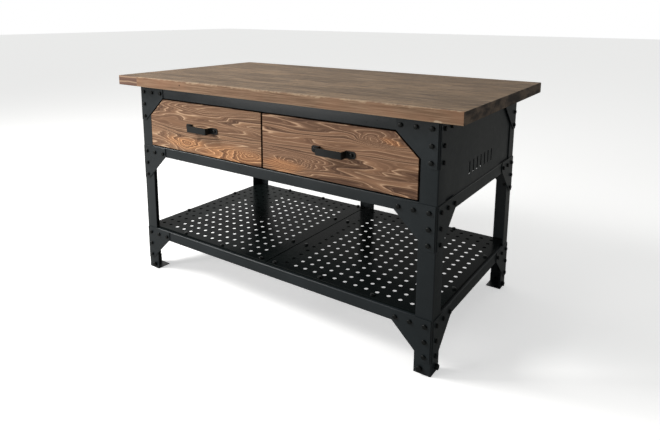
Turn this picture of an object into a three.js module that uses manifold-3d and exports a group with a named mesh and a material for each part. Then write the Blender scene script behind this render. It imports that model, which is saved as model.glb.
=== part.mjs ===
// A workbench with two drawers side by side: a thick wooden top on a bolted frame of
// steel angle, with a perforated storage shelf below. Millimetres, +Z up. The origin is on
// the floor under the middle of the top; -Y is the side that the drawers open to.
import * as THREE from "three";
import { mergeVertices } from "three/addons/utils/BufferGeometryUtils.js";
import Module from "manifold-3d";

// Worktop, and how far it stands out past the frame
const topLength = 1600;
const topDepth = 856;
const topThickness = 41;
const benchHeight = 900;
const endOverhang = 88;
const frontOverhang = 47;
const backOverhang = 23;

// Gap between pieces that touch, and running gap round what moves
const fit = 0.3;
const runningGap = 0.6;

// Steel angle of the legs and rails
const legFlange = 62;
const angleThickness = 4;
const cornerRadius = 5;
const railFlange = 40;
const topRailHeight = 48;
const frontRailHeight = 42;
const railHeight = 43;

// Heights of the drawer opening and of the shelf
const drawerOpening = 221;
const sideRailDrop = 7;
const shelfRailTop = 200;

// Gusset plates over every joint between a leg and a rail
const gussetThickness = 3;
const gussetInset = 5;
const gussetReach = 150;
const gussetDrop = 151;
const gussetTip = 30;
const topGussetArm = 43;
const gussetArm = 37;
const gussetBelowTop = 4;
const gussetBelowRail = 4;
const gussetBelowShelf = 1;

// Button-head bolts
const boltPitch = 54;
const boltFromCorner = 26;
const boltFromTop = 24.5;
const boltRadius = 7.8;
const boltHeight = 6;
const boltCrown = 0.8;
const boltSink = 0.5;
const boltSides = 8;

// Bent feet in the legs, each held by two larger bolts
const footThickness = 3;
const footTab = 38;
const footBoltRadius = 10;
const footBoltHeight = 10;
const footBoltFromCorner = 40;
const footBoltZ = 19;

// Sheet steel of the panels, the divider and the drawer boxes
const sheet = 2;
const panelFlange = 25;
const ventCount = 7;
const ventPitch = 38;
const ventWidth = 10;
const ventHeight = 46;
const ventZ = 648;

// Shelf trays and the channel under their seam
const trayInset = 9;
const trayHeight = 8;
const traySeam = 1.5;
const seamChannelWidth = 100;
const seamChannelDrop = 38;
const trayBoltFromEdge = 11;
const trayBoltFromSeam = 35;
const trayBoltSpread = 163;
const trayEndBolt = 476;
const trayMiddleBolt = 252;

// Rear post: a channel on the outside of the back rails
const postWidth = 72;
const postFlange = 18;
const postThickness = 3;

// Drawers
const drawerGap = 5;
const drawerGapBelow = 6;
const betweenDrawers = 8;
const frontThickness = 20;
const frontProud = 3.4;
const chamferGap = 5;
const dividerWidth = 20;
const dividerSetback = 4;
const boxSheet = 1.5;
const boxGapUnderGusset = 7;
const boxBehindBack = 110;
const boxAboveSill = 16;

// Drawer runners: a lipped channel on the frame and a smaller one on the drawer
const runnerLength = 600;
const runnerHeight = 45;
const runnerWidth = 12;
const runnerWall = 1.5;
const runnerLip = 3.5;
const runnerAboveSill = 60;
const runnerSetback = 4;

// Handles bent from flat bar
const handleLength = 182;
const handleGrip = 114;
const handleDepth = 35;
const handleHeight = 26;
const handleBar = 4;
const handleTabRadius = 9;
const handleBoltSpacing = 152;
const handleAboveMiddle = 4;

// Places that follow from the sizes above. The frame is symmetrical about its own middle.
const frameTop = benchHeight - topThickness - fit;
const halfLength = topLength / 2 - endOverhang;
const halfDepth = (topDepth - frontOverhang - backOverhang) / 2;
const frameMiddle = (frontOverhang - backOverhang) / 2;
const openingTop = frameTop - topRailHeight;
const sillTop = openingTop - drawerOpening;
const sideRailTop = sillTop - sideRailDrop;
const openingHalf = halfLength - legFlange;
const trayTop = shelfRailTop + fit + trayHeight;

const levels = {
  top: { gussetTop: frameTop - gussetBelowTop, arm: topGussetArm },
  drawer: { gussetTop: sillTop - gussetBelowRail, arm: gussetArm },
  shelf: { gussetTop: shelfRailTop - gussetBelowShelf, arm: gussetArm },
};

// Each face of the frame is drawn as the front is, with +X to its right and -Y out of it,
// and then turned about Z into its place.
const faces = {
  front: { turn: 0, half: halfLength, distance: halfDepth, ends: ["left", "right"] },
  right: { turn: Math.PI / 2, half: halfDepth, distance: halfLength, ends: ["front", "back"] },
  back: { turn: Math.PI, half: halfLength, distance: halfDepth, ends: ["right", "left"] },
  left: { turn: -Math.PI / 2, half: halfDepth, distance: halfLength, ends: ["back", "front"] },
};

const steel = { color: 0x2c3033, roughness: 0.5, metalness: 0.6 };
const zinc = { color: 0xa9adb0, roughness: 0.35, metalness: 0.9 };
const topWood = { color: 0x8a7058, roughness: 0.6, metalness: 0 };
const drawerWood = { color: 0x8c6a4e, roughness: 0.6, metalness: 0 };

const wasm = await Module();
wasm.setup();

const bench = new THREE.Group();
const frame = new THREE.Group();
frame.position.y = frameMiddle;
bench.add(frame);

// ---- Solids ----

function solidFrom(geometry) {
  const bare = geometry.clone();
  bare.deleteAttribute("normal");
  bare.deleteAttribute("uv");
  const merged = mergeVertices(bare, 1e-4);
  const vertProperties = merged.attributes.position.array;
  const triVerts = new Uint32Array(merged.index.array);
  return new wasm.Manifold(new wasm.Mesh({ numProp: 3, vertProperties, triVerts }));
}

function geometryFrom(solid) {
  const mesh = solid.getMesh();
  const geometry = new THREE.BufferGeometry();
  geometry.setAttribute("position", new THREE.BufferAttribute(mesh.vertProperties, 3));
  geometry.setIndex(new THREE.BufferAttribute(mesh.triVerts, 1));
  return geometry;
}

function join(...geometries) {
  return geometryFrom(geometries.map(solidFrom).reduce((all, one) => all.add(one)));
}

function cut(geometry, ...cutters) {
  return geometryFrom(cutters.map(solidFrom).reduce((all, one) => all.subtract(one), solidFrom(geometry)));
}

// Prisms: an outline gives the two other coordinates, in X, Y, Z order.
function prism(outline, low, high) {
  const shape = new THREE.Shape(outline.map(([u, v]) => new THREE.Vector2(u, v)));
  const solid = new THREE.ExtrudeGeometry(shape, { depth: high - low, bevelEnabled: false });
  return solid.translate(0, 0, low);
}

function prismX(outline, low, high) {
  const turned = new THREE.Matrix4().makeBasis(
    new THREE.Vector3(0, 1, 0),
    new THREE.Vector3(0, 0, 1),
    new THREE.Vector3(1, 0, 0),
  );
  return prism(outline, low, high).applyMatrix4(turned);
}

function prismY(outline, low, high) {
  return prism(outline, -high, -low).rotateX(Math.PI / 2);
}

function block([x0, x1], [y0, y1], [z0, z1]) {
  const box = new THREE.BoxGeometry(x1 - x0, y1 - y0, z1 - z0);
  return box.translate((x0 + x1) / 2, (y0 + y1) / 2, (z0 + z1) / 2);
}

function arc(x, y, radius, from, to, steps = 4) {
  const points = [];
  for (let i = 0; i <= steps; i += 1) {
    const angle = from + ((to - from) * i) / steps;
    points.push([x + radius * Math.cos(angle), y + radius * Math.sin(angle)]);
  }
  return points;
}

const OUT_FRONT = new THREE.Vector3(0, -1, 0);
const UP = new THREE.Vector3(0, 0, 1);

function boltHead(x, y, z, direction, radius = boltRadius, height = boltHeight) {
  const head = new THREE.CylinderGeometry(radius * boltCrown, radius, height + boltSink, boltSides);
  head.translate(0, (height - boltSink) / 2, 0);
  const turn = new THREE.Quaternion().setFromUnitVectors(new THREE.Vector3(0, 1, 0), direction);
  return head.applyQuaternion(turn).translate(x, y, z);
}

function add(name, geometry, finish, parent = frame) {
  geometry.computeVertexNormals();
  const mesh = new THREE.Mesh(geometry, new THREE.MeshStandardMaterial(finish));
  mesh.name = name;
  parent.add(mesh);
  return mesh;
}

// Turns and moves a mesh drawn as on the front to the face it belongs to.
function placeOn(face, mesh, height = 0) {
  mesh.rotation.z = face.turn;
  mesh.position.set(face.distance * Math.sin(face.turn), -face.distance * Math.cos(face.turn), height);
}

// ---- Worktop ----

function worktop() {
  const top = new THREE.BoxGeometry(topLength, topDepth, topThickness);
  add("worktop", top, topWood, bench).position.z = benchHeight - topThickness / 2;
}

// ---- Legs and feet ----

// Equal angle with its outer corner at the origin and its flanges along +X and +Y.
function angleOutline(flange, thickness, radius) {
  return [
    ...arc(radius, radius, radius, Math.PI, 1.5 * Math.PI),
    [flange, 0],
    [flange, thickness],
    [thickness, thickness],
    [thickness, flange],
    [0, flange],
  ];
}

function leg(side, end, name) {
  const outline = angleOutline(legFlange, angleThickness, cornerRadius);
  const angle = prism(outline.map(([x, y]) => [-side * x, -end * y]), 0, frameTop);
  const toEnd = new THREE.Vector3(0, end, 0);
  const toSide = new THREE.Vector3(side, 0, 0);
  const endBolt = boltHead(-side * footBoltFromCorner, 0, footBoltZ, toEnd, footBoltRadius, footBoltHeight);
  const sideBolt = boltHead(0, -end * footBoltFromCorner, footBoltZ, toSide, footBoltRadius, footBoltHeight);
  const mesh = add(name, join(angle, endBolt, sideBolt), steel);
  mesh.position.set(side * halfLength, end * halfDepth, 0);
}

// A floor plate that fills the leg's inner corner, with a tab up each flange.
function foot(side, end, name) {
  const inner = angleThickness + fit;
  const plate = block([inner, legFlange], [inner, legFlange], [0, footThickness]);
  const endTab = block([inner, legFlange], [inner, inner + footThickness], [0, footTab]);
  const sideTab = block([inner, inner + footThickness], [inner, legFlange], [0, footTab]);
  const mesh = add(name, join(plate, endTab, sideTab), steel);
  mesh.rotation.z = Math.atan2(-end, -side) - Math.PI / 4;
  mesh.position.set(side * halfLength, end * halfDepth, 0);
}

function legsAndFeet() {
  for (const [end, endName] of [[-1, "front"], [1, "back"]]) {
    for (const [side, sideName] of [[-1, "left"], [1, "right"]]) {
      leg(side, end, `${endName}_${sideName}_leg`);
      foot(side, end, `${endName}_${sideName}_foot`);
    }
  }
}

// ---- Gussets ----

function gussetOutline(arm) {
  return [
    [gussetInset, 0],
    [gussetReach, 0],
    [gussetReach, -arm],
    [gussetTip, -gussetDrop],
    [gussetInset, -gussetDrop],
  ];
}

// Plate with its five bolts. The origin is on the leg's outer corner at the plate's top;
// end is -1 at the left end of the face and 1 at its right end.
function gussetGeometry(end, arm) {
  const outline = gussetOutline(arm).map(([x, z]) => [-end * x, z]);
  const outer = -fit - gussetThickness;
  const places = [
    [0, 0],
    [1, 0],
    [2, 0],
    [0, 1],
    [0, 2],
  ];
  const heads = places.map(([across, down]) => {
    const x = -end * (boltFromCorner + across * boltPitch);
    return boltHead(x, outer, -boltFromTop - down * boltPitch, OUT_FRONT);
  });
  return join(prismY(outline, outer, -fit), ...heads);
}

function gussets(faceName) {
  const face = faces[faceName];
  [-1, 1].forEach((end, i) => {
    for (const [levelName, level] of Object.entries(levels)) {
      const geometry = gussetGeometry(end, level.arm).translate(end * face.half, 0, 0);
      const mesh = add(`${faceName}_${face.ends[i]}_${levelName}_gusset`, geometry, steel);
      placeOn(face, mesh, level.gussetTop);
    }
  });
}

// ---- Rails ----

// Angle rail between two legs, flush with them, with its other flange inwards at the top.
function railGeometry(face, height) {
  const reach = face.half - legFlange - fit;
  const outline = [
    [0, -height],
    [angleThickness, -height],
    [angleThickness, -angleThickness],
    [railFlange, -angleThickness],
    [railFlange, 0],
    [0, 0],
  ];
  return prismX(outline, -reach, reach);
}

function rail(name, faceName, top, height) {
  const face = faces[faceName];
  placeOn(face, add(name, railGeometry(face, height), steel), top);
}

// A back rail has its gussets welded on, so that the back is one piece at each level.
function backRail(name, top, height, level) {
  const face = faces.back;
  const reach = face.half - legFlange - fit;
  const lift = level.gussetTop - top;
  const parts = [railGeometry(face, height)];
  for (const end of [-1, 1]) {
    const weld = [end * reach, end * (face.half - gussetReach)].sort((a, b) => a - b);
    parts.push(gussetGeometry(end, level.arm).translate(end * face.half, 0, lift));
    parts.push(block(weld, [-fit - gussetThickness / 2, angleThickness / 2], [-height / 2, -height / 4]));
  }
  placeOn(face, add(name, join(...parts), steel), top);
}

function rails() {
  rail("front_top_rail", "front", frameTop, topRailHeight);
  rail("front_drawer_rail", "front", sillTop, frontRailHeight);
  rail("front_shelf_rail", "front", shelfRailTop, railHeight);
  backRail("back_top_rail", frameTop, topRailHeight, levels.top);
  backRail("back_drawer_rail", sideRailTop, railHeight, levels.drawer);
  backRail("back_shelf_rail", shelfRailTop, railHeight, levels.shelf);
  for (const side of ["left", "right"]) {
    rail(`${side}_drawer_rail`, side, sideRailTop, railHeight);
    rail(`${side}_shelf_rail`, side, shelfRailTop, railHeight);
  }
}

// A channel on the outside of the back rails, halfway along, with its flanges backwards.
function backPost() {
  const half = postWidth / 2;
  const plan = [
    [-half, fit],
    [half, fit],
    [half, postFlange],
    [half - postThickness, postFlange],
    [half - postThickness, fit + postThickness],
    [postThickness - half, fit + postThickness],
    [postThickness - half, postFlange],
    [-half, postFlange],
  ];
  const channel = prism(plan, shelfRailTop - railHeight, frameTop);
  const rows = [shelfRailTop - railHeight / 2, sideRailTop - railHeight / 2, frameTop - topRailHeight / 2];
  const toBack = new THREE.Vector3(0, 1, 0);
  const heads = rows.flatMap((z) => [-1, 1].map((s) => boltHead((s * half) / 2, fit + postThickness, z, toBack)));
  add("back_center_post", join(channel, ...heads), steel).position.y = halfDepth;
}

// ---- Shelf ----

function shelfTray(side, name) {
  const seam = side * traySeam;
  const outer = side * (halfLength - trayInset);
  const [x0, x1] = [Math.min(seam, outer), Math.max(seam, outer)];
  const y1 = halfDepth - trayInset;
  const z0 = shelfRailTop + fit;
  const tray = block([x0, x1], [-y1, y1], [z0, trayTop]);
  const hollow = block([x0 + sheet, x1 - sheet], [sheet - y1, y1 - sheet], [z0 - sheet, trayTop - sheet]);
  const heads = trayBolts(outer, y1).map(([x, y]) => boltHead(x, y, trayTop, UP));
  add(name, join(cut(tray, hollow), ...heads), steel);
}

// Bolts down both ends of the seam, along the front and back edges and on the outer edge.
function trayBolts(outer, y1) {
  const side = Math.sign(outer);
  const edge = y1 - trayBoltFromEdge;
  const along = [side * trayBoltFromSeam, side * trayMiddleBolt, side * trayEndBolt];
  const places = along.flatMap((x) => [[x, -edge], [x, edge]]);
  for (const y of [-trayBoltSpread, trayBoltSpread]) {
    places.push([side * trayBoltFromSeam, y], [outer - side * trayBoltFromEdge, y]);
  }
  return places;
}

// Channel with its flanges down, level with the rails, under the seam of the two trays.
function seamChannel() {
  const half = seamChannelWidth / 2;
  const reach = halfDepth - railFlange - fit;
  const outline = [
    [-half, 0],
    [-half, -seamChannelDrop],
    [sheet - half, -seamChannelDrop],
    [sheet - half, -sheet],
    [half - sheet, -sheet],
    [half - sheet, -seamChannelDrop],
    [half, -seamChannelDrop],
    [half, 0],
  ];
  add("shelf_seam_channel", prismY(outline, -reach, reach), steel).position.z = shelfRailTop;
}

// ---- Panels round the drawers ----

// Sheet inside the leg flanges, folded inwards at the bottom and at the top.
function sidePanel(faceName) {
  const face = faces[faceName];
  const y0 = angleThickness + fit;
  const z0 = sideRailTop + fit;
  const reach = face.half - y0 - sheet - fit;
  const outline = [
    [y0, z0],
    [y0 + panelFlange, z0],
    [y0 + panelFlange, z0 + sheet],
    [y0 + sheet, z0 + sheet],
    [y0 + sheet, frameTop - sheet],
    [y0 + panelFlange, frameTop - sheet],
    [y0 + panelFlange, frameTop],
    [y0, frameTop],
  ];
  const vents = [];
  for (let i = 0; i < ventCount; i += 1) {
    const x = (i - (ventCount - 1) / 2) * ventPitch;
    const across = [x - ventWidth / 2, x + ventWidth / 2];
    vents.push(block(across, [0, y0 + 2 * sheet], [ventZ - ventHeight / 2, ventZ + ventHeight / 2]));
  }
  placeOn(face, add(`${faceName}_side_panel`, cut(prismX(outline, -reach, reach), ...vents), steel));
}

function backPanel() {
  const y0 = angleThickness + fit;
  const reach = halfLength - y0;
  const z1 = frameTop - angleThickness - fit;
  const panel = block([-reach, reach], [y0, y0 + sheet], [sideRailTop + fit, z1]);
  placeOn(faces.back, add("back_panel", panel, steel));
}

// Folded sheet between the drawers, closed at the front and open at the back.
function divider() {
  const half = dividerWidth / 2;
  const front = -halfDepth - frontProud + frontThickness + dividerSetback;
  const back = halfDepth - angleThickness - 2 * fit - sheet;
  const plan = [
    [-half, front],
    [half, front],
    [half, back],
    [half - sheet, back],
    [half - sheet, front + sheet],
    [sheet - half, front + sheet],
    [sheet - half, back],
    [-half, back],
  ];
  const z1 = frameTop - angleThickness - fit;
  add("drawer_divider", prism(plan, sillTop + fit, z1), steel);
}

// ---- Runners ----

const runnerFront = -halfDepth - frontProud + frontThickness + runnerSetback;
const runnerZ = sillTop + runnerAboveSill;

// Lipped channel open towards the drawer. side is where its back faces; standoff is how far
// its bracket reaches behind it.
function fixedRunner(name, x, side, standoff) {
  const half = runnerHeight / 2;
  const inside = half - runnerWall;
  const outline = [
    [0, half],
    [0, half - runnerWall - runnerLip],
    [runnerWall, half - runnerWall - runnerLip],
    [runnerWall, inside],
    [runnerWidth - runnerWall, inside],
    [runnerWidth - runnerWall, -inside],
    [runnerWall, -inside],
    [runnerWall, runnerWall + runnerLip - half],
    [0, runnerWall + runnerLip - half],
    [0, -half],
    [runnerWidth + standoff, -half],
    [runnerWidth + standoff, -inside],
    [runnerWidth, -inside],
    [runnerWidth, inside],
    [runnerWidth + standoff, inside],
    [runnerWidth + standoff, half],
  ];
  const bar = standoff > 0 ? outline : [...outline.slice(0, 10), [runnerWidth, -half], [runnerWidth, half]];
  const geometry = prismY(bar.map(([u, v]) => [side * u, v]), 0, runnerLength);
  add(name, geometry, zinc).position.set(x, runnerFront, runnerZ);
}

// The drawer's member runs between the lips and hooks behind them.
function drawerRunner(name, x, side, parent) {
  const half = runnerHeight / 2 - runnerWall - runnerLip - runningGap;
  const hook = runnerHeight / 2 - runnerWall - runningGap;
  const deep = runnerWidth - runnerWall - runningGap;
  const outline = [
    [0, -half],
    [deep - runnerWall, -half],
    [deep - runnerWall, -hook],
    [deep, -hook],
    [deep, runnerWall - half],
    [runnerWall, runnerWall - half],
    [runnerWall, half - runnerWall],
    [deep, half - runnerWall],
    [deep, hook],
    [deep - runnerWall, hook],
    [deep - runnerWall, half],
    [0, half],
  ];
  const geometry = prismY(outline.map(([u, v]) => [side * u, v]), 0, runnerLength);
  add(name, geometry, zinc, parent).position.set(x, runnerFront, runnerZ);
}

// ---- Drawers ----

// Height of the slanting edge of the front top gussets, at a distance from the middle.
const gussetSlope = (gussetDrop - topGussetArm) / (gussetReach - gussetTip);

function gussetEdge(x) {
  return levels.top.gussetTop - topGussetArm - gussetSlope * (x - halfLength + gussetReach);
}

// The outer top corner is cut off parallel to the gusset beside it.
function drawerFront(side) {
  const inner = betweenDrawers / 2;
  const outer = openingHalf - drawerGap;
  const [x0, x1] = side > 0 ? [inner, outer] : [-outer, -inner];
  const y0 = -halfDepth - frontProud;
  const board = block([x0, x1], [y0, y0 + frontThickness], [sillTop + drawerGapBelow, openingTop - drawerGap]);
  const drop = chamferGap * Math.hypot(1, gussetSlope);
  const near = halfLength - 2 * gussetReach;
  const corner = [
    [side * near, gussetEdge(near) - drop],
    [side * halfLength, gussetEdge(halfLength) - drop],
    [side * halfLength, gussetEdge(near) - drop],
  ];
  return cut(board, prismY(corner, y0 - 1, y0 + frontThickness + 1));
}

// Open box that slides out under the slanting edge of the gusset at its outer side.
function drawerBox(x0, x1) {
  const y0 = -halfDepth - frontProud + frontThickness + fit;
  const y1 = halfDepth - boxBehindBack;
  const z0 = sillTop + boxAboveSill;
  const z1 = gussetEdge(Math.max(Math.abs(x0), Math.abs(x1))) - boxGapUnderGusset;
  const wall = boxSheet;
  const outside = block([x0, x1], [y0, y1], [z0, z1]);
  const inside = block([x0 + wall, x1 - wall], [y0 + wall, y1 - wall], [z0 + wall, z1 + wall]);
  return cut(outside, inside);
}

// Flat bar with a raised grip and a round-cornered tab at each end.
function handle() {
  const end = handleLength / 2;
  const grip = handleGrip / 2;
  const plan = [
    [-end, 0],
    [-end, -handleBar],
    [-grip, -handleBar],
    [-grip, -handleDepth],
    [grip, -handleDepth],
    [grip, -handleBar],
    [end, -handleBar],
    [end, 0],
    [grip - handleBar, 0],
    [grip - handleBar, handleBar - handleDepth],
    [handleBar - grip, handleBar - handleDepth],
    [handleBar - grip, 0],
  ];
  const half = handleHeight / 2;
  const r = handleTabRadius;
  const face = [
    ...arc(end - r, half - r, r, 0, Math.PI / 2),
    ...arc(r - end, half - r, r, Math.PI / 2, Math.PI),
    ...arc(r - end, r - half, r, Math.PI, 1.5 * Math.PI),
    ...arc(end - r, r - half, r, 1.5 * Math.PI, 2 * Math.PI),
  ];
  const bar = solidFrom(prism(plan, -half, half)).intersect(solidFrom(prismY(face, -handleDepth - 1, 1)));
  const heads = [-1, 1].map((s) => boltHead((s * handleBoltSpacing) / 2, -handleBar, 0, OUT_FRONT));
  return join(geometryFrom(bar), ...heads);
}

function drawer(side, name) {
  const group = new THREE.Group();
  frame.add(group);
  const inner = side * (dividerWidth / 2 + fit);
  const outer = side * (openingHalf - fit);
  const wall = runnerWidth + fit;
  const edges = [inner + side * wall, outer - side * wall].sort((a, b) => a - b);
  const toPanel = halfLength - angleThickness - 2 * fit - sheet;
  const standoff = toPanel - (openingHalf - fit);
  fixedRunner(`${name}_inner_fixed_runner`, inner + side * runnerWidth, -side, 0);
  fixedRunner(`${name}_outer_fixed_runner`, outer - side * runnerWidth, side, standoff);
  drawerRunner(`${name}_inner_drawer_runner`, inner + side * runnerWidth, -side, group);
  drawerRunner(`${name}_outer_drawer_runner`, outer - side * runnerWidth, side, group);
  add(`${name}_drawer_front`, drawerFront(side), drawerWood, group);
  add(`${name}_drawer_box`, drawerBox(...edges), steel, group);
  const middle = (side * (betweenDrawers / 2 + openingHalf - drawerGap)) / 2;
  const height = (sillTop + drawerGapBelow + openingTop - drawerGap) / 2 + handleAboveMiddle;
  const grip = add(`${name}_handle`, handle(), steel, group);
  grip.position.set(middle, -halfDepth - frontProud - fit, height);
}

// ---- Assembly ----

worktop();
legsAndFeet();
gussets("front");
gussets("left");
gussets("right");
rails();
backPost();
shelfTray(-1, "left_shelf_tray");
shelfTray(1, "right_shelf_tray");
seamChannel();
sidePanel("left");
sidePanel("right");
backPanel();
divider();
drawer(-1, "left");
drawer(1, "right");

export default bench;
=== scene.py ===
from math import radians
import bmesh
import bpy
from mathutils import Matrix, Vector


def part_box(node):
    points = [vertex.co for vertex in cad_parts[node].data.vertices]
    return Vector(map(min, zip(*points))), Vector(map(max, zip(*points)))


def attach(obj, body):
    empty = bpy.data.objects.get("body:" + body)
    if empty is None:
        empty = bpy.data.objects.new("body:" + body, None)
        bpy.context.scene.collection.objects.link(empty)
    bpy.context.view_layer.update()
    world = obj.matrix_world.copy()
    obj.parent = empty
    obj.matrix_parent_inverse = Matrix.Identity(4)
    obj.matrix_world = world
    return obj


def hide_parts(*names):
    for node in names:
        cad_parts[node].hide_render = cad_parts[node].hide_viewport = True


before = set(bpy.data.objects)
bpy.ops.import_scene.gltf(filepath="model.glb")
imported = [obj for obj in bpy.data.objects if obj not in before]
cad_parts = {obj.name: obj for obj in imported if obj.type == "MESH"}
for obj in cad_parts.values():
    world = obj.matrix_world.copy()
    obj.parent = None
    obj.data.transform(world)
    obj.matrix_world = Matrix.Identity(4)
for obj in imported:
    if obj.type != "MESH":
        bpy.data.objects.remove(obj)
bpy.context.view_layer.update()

scene = bpy.context.scene

# ---- Camera ----
# Standing to the right of the bench, looking down on it a little, with the lens shifted so
# that the legs stay nearly upright in the picture.

camera = bpy.data.objects.new("camera", bpy.data.cameras.new("camera"))
camera.data.sensor_width = 36
camera.data.lens = 30.117
camera.data.shift_x = 0.0104
camera.data.shift_y = -0.1613
camera.location = (1.3517, -1.9181, 1.1718)
camera.rotation_euler = (1.39229, -0.00382, 0.60977)
scene.collection.objects.link(camera)
scene.camera = camera

# ---- Studio ----
# A plain pale floor in a white surround. The light that falls on the bench comes from all
# round, most of it from behind on the left, and from two large soft lamps in front on the
# left, one high and one low.

scene.view_settings.view_transform = "Standard"

world = bpy.data.worlds.new("studio surround")
scene.world = world
world.use_nodes = True
nodes, links = world.node_tree.nodes, world.node_tree.links
nodes.clear()
where = nodes.new("ShaderNodeTexCoord")
towards = nodes.new("ShaderNodeVectorMath")
towards.operation = "DOT_PRODUCT"
bright_side = (-0.78, 0.62, 0.0)
towards.inputs[1].default_value = bright_side
spread = nodes.new("ShaderNodeMapRange")
spread.inputs["From Min"].default_value = -1.0
tones = nodes.new("ShaderNodeValToRGB")
tones.color_ramp.elements[0].position = 0.0
tones.color_ramp.elements[0].color = (0.17, 0.17, 0.165, 1)
tones.color_ramp.elements[1].position = 1.0
tones.color_ramp.elements[1].color = (0.95, 0.95, 0.93, 1)
for position, colour in (
    (0.2, (0.22, 0.23, 0.24, 1)), (0.5, (0.30, 0.30, 0.29, 1)), (0.66, (0.58, 0.58, 0.55, 1)),
    (0.8, (0.42, 0.42, 0.41, 1)), (0.92, (0.52, 0.52, 0.51, 1)),
):
    tones.color_ramp.elements.new(position).color = colour
seen = nodes.new("ShaderNodeLightPath")
surround = nodes.new("ShaderNodeBackground")
plain = nodes.new("ShaderNodeBackground")
plain.inputs["Color"].default_value = (1, 1, 1, 1)
either = nodes.new("ShaderNodeMixShader")
world_out = nodes.new("ShaderNodeOutputWorld")
links.new(where.outputs["Generated"], towards.inputs[0])
links.new(towards.outputs["Value"], spread.inputs["Value"])
links.new(spread.outputs["Result"], tones.inputs["Fac"])
links.new(tones.outputs["Color"], surround.inputs["Color"])
links.new(seen.outputs["Is Camera Ray"], either.inputs["Fac"])
links.new(surround.outputs["Background"], either.inputs[1])
links.new(plain.outputs["Background"], either.inputs[2])
links.new(either.outputs["Shader"], world_out.inputs["Surface"])


def soft_lamp(name, place, aim, size, power, tint):
    """A square lamp at place, size metres wide and power watts strong, turned towards aim."""
    lamp = bpy.data.objects.new(name, bpy.data.lights.new(name, "AREA"))
    lamp.data.shape = "SQUARE"
    lamp.data.size = size
    lamp.data.energy = power
    lamp.data.color = tint
    lamp.location = place
    lamp.rotation_euler = (Vector(aim) - Vector(place)).to_track_quat("-Z", "Y").to_euler()
    scene.collection.objects.link(lamp)


soft_lamp("high_lamp", (-2.9, -1.95, 2.9), (0, -0.2, 0.6), 1.3, 145, (1.0, 0.99, 0.97))
soft_lamp("front_lamp", (-2.3, -3.7, 1.5), (0, 0, 0.7), 1.6, 62, (1.0, 0.99, 0.98))

floor_size = 30
floor_mesh = bmesh.new()
bmesh.ops.create_grid(floor_mesh, x_segments=1, y_segments=1, size=floor_size)
floor_data = bpy.data.meshes.new("floor")
floor_mesh.to_mesh(floor_data)
floor_mesh.free()
floor = bpy.data.objects.new("floor", floor_data)
scene.collection.objects.link(floor)
# The floor is one even pale tone with a weak glow, and the only dark on it is the bench's own
# shadow. The light it throws back on the bench is softer than the tone the camera sees.
floor_paint = bpy.data.materials.new("floor_paint")
floor_paint.use_nodes = True
nodes, links = floor_paint.node_tree.nodes, floor_paint.node_tree.links
nodes.clear()
paint = nodes.new("ShaderNodeBsdfPrincipled")
paint.inputs["Base Color"].default_value = (0.85, 0.85, 0.85, 1)
paint.inputs["Roughness"].default_value = 0.9
paint.inputs["Specular IOR Level"].default_value = 0.1
paint.inputs["Emission Color"].default_value = (1, 1, 1, 1)
paint.inputs["Emission Strength"].default_value = 0.5
bounce = nodes.new("ShaderNodeBsdfDiffuse")
bounce.inputs["Color"].default_value = (0.36, 0.36, 0.35, 1)
seen = nodes.new("ShaderNodeLightPath")
either = nodes.new("ShaderNodeMixShader")
floor_out = nodes.new("ShaderNodeOutputMaterial")
links.new(seen.outputs["Is Camera Ray"], either.inputs["Fac"])
links.new(bounce.outputs[0], either.inputs[1])
links.new(paint.outputs[0], either.inputs[2])
links.new(either.outputs[0], floor_out.inputs["Surface"])
floor_data.materials.append(floor_paint)

# ---- Legs ----
# Equal steel angle, rounded along the outer corner, cut square and powder coated in satin
# anthracite. They stand with the corner outwards and run up to the worktop.


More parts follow.
